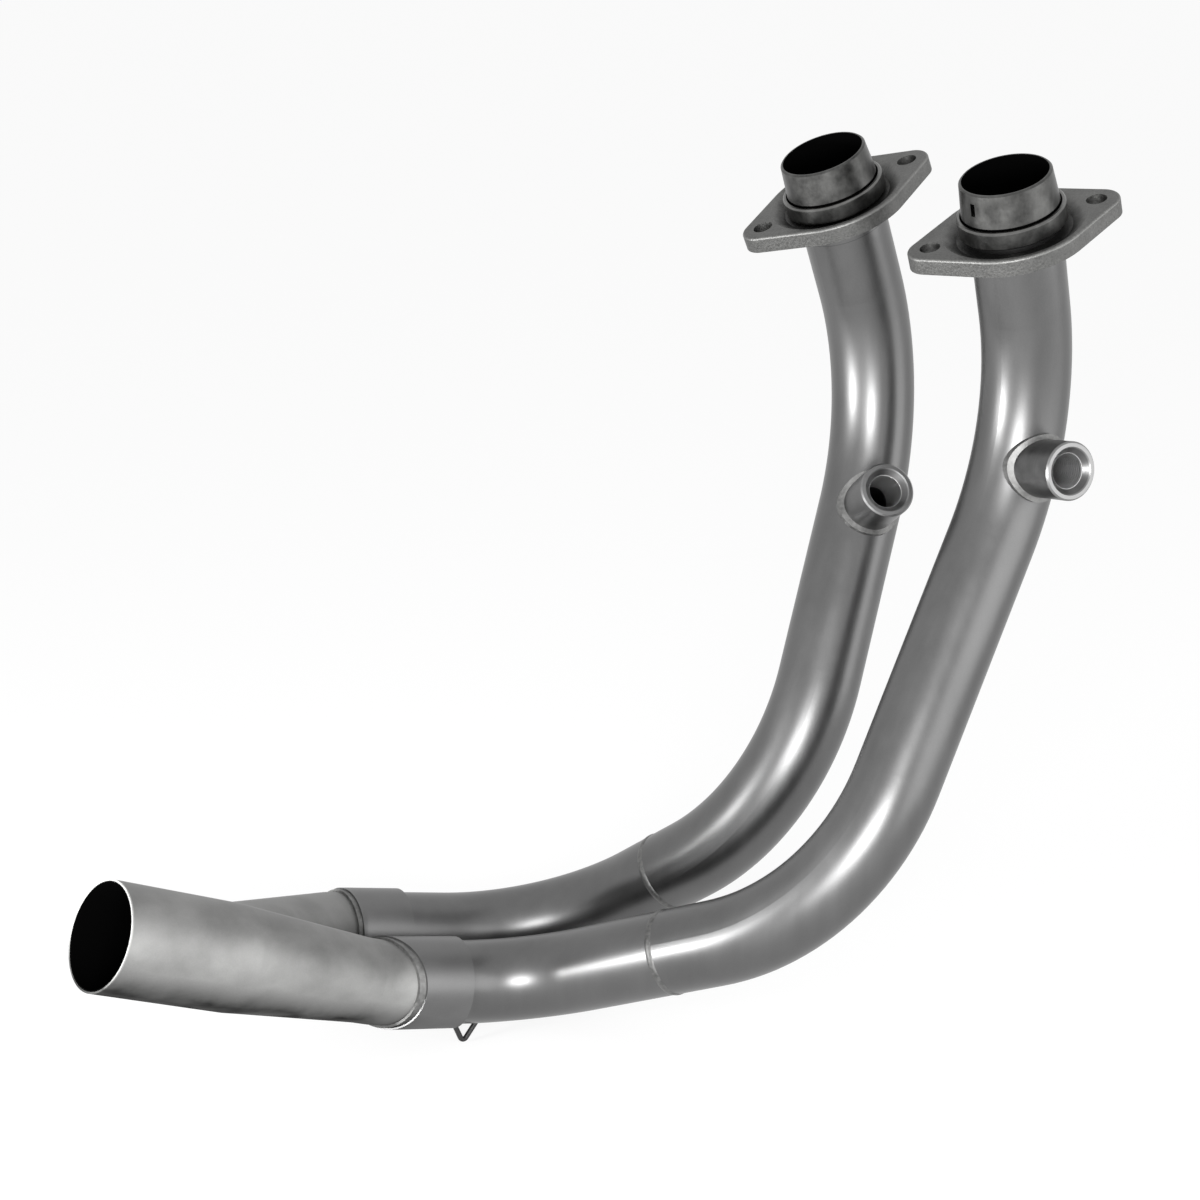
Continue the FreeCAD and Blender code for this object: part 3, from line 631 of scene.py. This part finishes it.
class HEADER_OT_bosses(bpy.types.Operator):
    """Turned sensor bosses with a bright rim and a threaded bore brightened with painted light"""
    bl_idname = "header.bosses"
    bl_label = "Finish the sensor bosses"

    def execute(self, context):
        for side in SIDES:
            finish = Finish("%s turned boss" % side)
            middle, axis = mount_line(side + "_sensor")
            hole = MOUNTS[side + "_sensor"]["dims"]
            lead = middle + axis * (hole["length_mm"] * MM / 2.0)
            radius = finish.radius_from(lead, axis)
            height = finish.height_along(lead, axis)
            cloud = finish.noise(cells=140.0)
            turning = finish.add("ShaderNodeTexNoise", {"noise_dimensions": "1D"}, output="Fac",
                                 W=height, Scale=2600.0, Detail=2.0)
            rim = height.above(RIM_HEIGHT, WIDE_EDGE) * radius.above(RIM_RADIUS, WIDE_EDGE)
            bore = radius.below(hole["r_mm"] * MM + SOFT_EDGE, SOFT_EDGE)
            thread = ((height * (math.tau / THREAD_PITCH)).maths("SINE") * 0.5 + 0.5) * bore
            # The threaded bore is brightened with painted light, as its inside is lit
            amount = 1.0 + turning.swing(0.35) + cloud.swing(0.8) + rim + bore * 4.5
            colour = finish.tint(settings().fitting.boss, amount)
            roughness = 0.36 + cloud.swing(0.2)
            normal = finish.bump(turning * 0.3 + thread * 4.0, distance=0.00015, strength=0.5)
            dress(finish.surface(colour, roughness, 1.0, normal), side + "_sensor_boss")
        return {"FINISHED"}


class HEADER_OT_welds(bpy.types.Operator):
    """Weld metal of every bead, with a painted highlight that makes the beads at the bosses and sockets
    brighter, and painted shade underneath
    """
    bl_idname = "header.welds"
    bl_label = "Finish the welds"

    def execute(self, context):
        # The beads at the bosses and sockets get a brighter copy of the weld metal, a painted highlight
        self.beads("bright weld", 0.55, both("boss_weld") + both("socket_weld"))
        self.beads("dull weld", 0.45, both("flange_weld") + both("pipe_weld"))
        return {"FINISHED"}

    def beads(self, name, shade, pieces):
        """Finish some beads in weld metal of a shade"""
        finish = Finish(name)
        ripple = finish.noise(cells=500.0, detail=2.0)
        cloud = finish.noise(cells=120.0, detail=2.0)
        amount = shade + ripple.swing(0.5) + cloud.swing(0.9 * shade)
        colour = finish.tint(settings().fitting.weld, amount)
        roughness = 0.5 + ripple.swing(0.2)
        normal = finish.bump(ripple, distance=0.0002, strength=0.6)
        # Painted shade along the beads' underside
        grime = painted_belly_shade(belly_depth(finish, cloud))
        dress(finish.surface(colour, roughness, 1.0, normal, grime), *pieces)


class HEADER_OT_hooks(bpy.types.Operator):
    """Black wire hooks"""
    bl_idname = "header.hooks"
    bl_label = "Finish the spring hooks"

    def execute(self, context):
        finish = Finish("black wire")
        grain = finish.noise(cells=900.0, detail=2.0)
        colour = finish.tint(settings().fitting.wire, 1.0 + grain.swing(0.4))
        roughness = 0.5 + grain.swing(0.2)
        dress(finish.surface(colour, roughness, 0.0), *both("spring_hook"))
        return {"FINISHED"}


# Studio

def toward(azimuth, elevation):
    """Unit vector from the header to a lamp or camera; angles are in degrees"""
    turn = math.radians(azimuth)
    rise = math.radians(elevation)
    return Vector((math.sin(turn) * math.cos(rise), -math.cos(turn) * math.cos(rise), math.sin(rise)))


def facing(place, target):
    """Matrix at place whose -Z looks at the target, upright"""
    back = (place - target).normalized()
    right = Vector((0.0, 0.0, 1.0)).cross(back).normalized()
    up = back.cross(right)
    matrix = Matrix((right, up, back)).transposed().to_4x4()
    matrix.translation = place
    return matrix


def stand(name, data, azimuth, elevation, distance):
    """Put a lamp or camera into the scene, turned to the aim"""
    aim = Vector(settings().studio.aim)
    item = bpy.data.objects.new(name, data)
    item.matrix_world = facing(aim + toward(azimuth, elevation) * distance, aim)
    bpy.context.scene.collection.objects.link(item)
    return item


def lamp(name, power, azimuth, elevation, distance, width, height):
    """Add a soft rectangular lamp; lengths are in metres"""
    data = bpy.data.lights.new(name, "AREA")
    data.shape = "RECTANGLE"
    data.size = width
    data.size_y = height
    data.energy = power
    stand(name, data, azimuth, elevation, distance)


class HEADER_OT_studio(bpy.types.Operator):
    """Camera, lamps, white surroundings and a plain pale floor"""
    bl_idname = "header.studio"
    bl_label = "Set up the studio"

    def execute(self, context):
        self.camera()
        self.lamps()
        self.surroundings()
        self.floor()
        return {"FINISHED"}

    def camera(self):
        """The photograph's viewing angle"""
        studio = settings().studio
        data = bpy.data.cameras.new("view")
        data.sensor_width = SENSOR_WIDTH
        data.lens = studio.lens
        data.clip_start = CLIP_START
        camera = stand("view", data, studio.azimuth, studio.elevation, studio.distance)
        bpy.context.scene.camera = camera

    def lamps(self):
        """Two small lamps that give the pipes their highlights, and a large soft one ahead"""
        studio = settings().studio
        lamp("key", studio.key, azimuth=-46.3, elevation=9.0, distance=0.81, width=0.3, height=0.2)
        lamp("outlet side", studio.side, azimuth=-105.7, elevation=-5.2, distance=0.81, width=0.16,
             height=0.13)
        lamp("front", studio.front, azimuth=18.0, elevation=8.0, distance=1.6, width=1.8, height=1.3)

    def surroundings(self):
        """A world that looks white and lights the header more softly"""
        scene = bpy.context.scene
        scene.view_settings.view_transform = "Standard"
        scene.world = bpy.data.worlds.new("surroundings")
        sky = Graph(scene.world, "ShaderNodeOutputWorld")
        light = sky.make("ShaderNodeBackground", None, Color=WHITE, Strength=settings().studio.fill)
        white = sky.make("ShaderNodeBackground", None, Color=WHITE, Strength=1.0)
        sky.show(sky.mix(sky.looked_at(), light, white))

    def floor(self):
        """A pale floor just under the header, which looks nearly white and keeps the shadow"""
        low = CAD_BOX[0]
        mesh = bpy.data.meshes.new("floor")
        corners = ((-1.0, -1.0), (1.0, -1.0), (1.0, 1.0), (-1.0, 1.0))
        points = [(x * FLOOR_HALF, y * FLOOR_HALF, low[2] - FLOOR_GAP) for x, y in corners]
        mesh.from_pydata(points, [], [(0, 1, 2, 3)])
        plane = bpy.data.objects.new("floor", mesh)
        bpy.context.scene.collection.objects.link(plane)
        finish = Finish("pale floor")
        matt = finish.make("ShaderNodeBsdfDiffuse", None, PALE)
        glow = finish.make("ShaderNodeEmission", None, WHITE, 1.0)
        finish.show(finish.mix(finish.looked_at() * FLOOR_GLOW, matt, glow))
        mesh.materials.append(finish.material)


class HEADER_PT_sidebar(bpy.types.Panel):
    """Lists the header's steps and settings"""
    bl_idname = "HEADER_PT_sidebar"
    bl_label = "Exhaust header"
    bl_space_type = "VIEW_3D"
    bl_region_type = "UI"
    bl_category = "Header"

    def draw(self, context):
        for operator in STEPS:
            self.layout.operator(operator.bl_idname)
        for group in (settings().tube, settings().collector, settings().port, settings().fitting,
                      settings().studio):
            for name in group.bl_rna.properties.keys():
                if name not in ("rna_type", "name"):
                    self.layout.prop(group, name)


GROUPS = (TubeFinish, CollectorFinish, PortFinish, FittingFinish, StudioSetup, HeaderSettings)
STEPS = (HEADER_OT_studio, HEADER_OT_tubes, HEADER_OT_collector, HEADER_OT_sockets, HEADER_OT_plates,
         HEADER_OT_spigots, HEADER_OT_bosses, HEADER_OT_welds, HEADER_OT_hooks)


def register():
    for item in GROUPS + STEPS + (HEADER_PT_sidebar,):
        bpy.utils.register_class(item)
    bpy.types.Scene.header = PointerProperty(type=HeaderSettings)


def unregister():
    del bpy.types.Scene.header
    for item in reversed(GROUPS + STEPS + (HEADER_PT_sidebar,)):
        bpy.utils.unregister_class(item)


def main():
    register()
    bpy.ops.header.studio()
    bpy.ops.header.tubes()
    bpy.ops.header.collector()
    bpy.ops.header.sockets()
    bpy.ops.header.plates()
    bpy.ops.header.spigots()
    bpy.ops.header.bosses()
    bpy.ops.header.welds()
    bpy.ops.header.hooks()


if __name__ == "__main__":
    main()
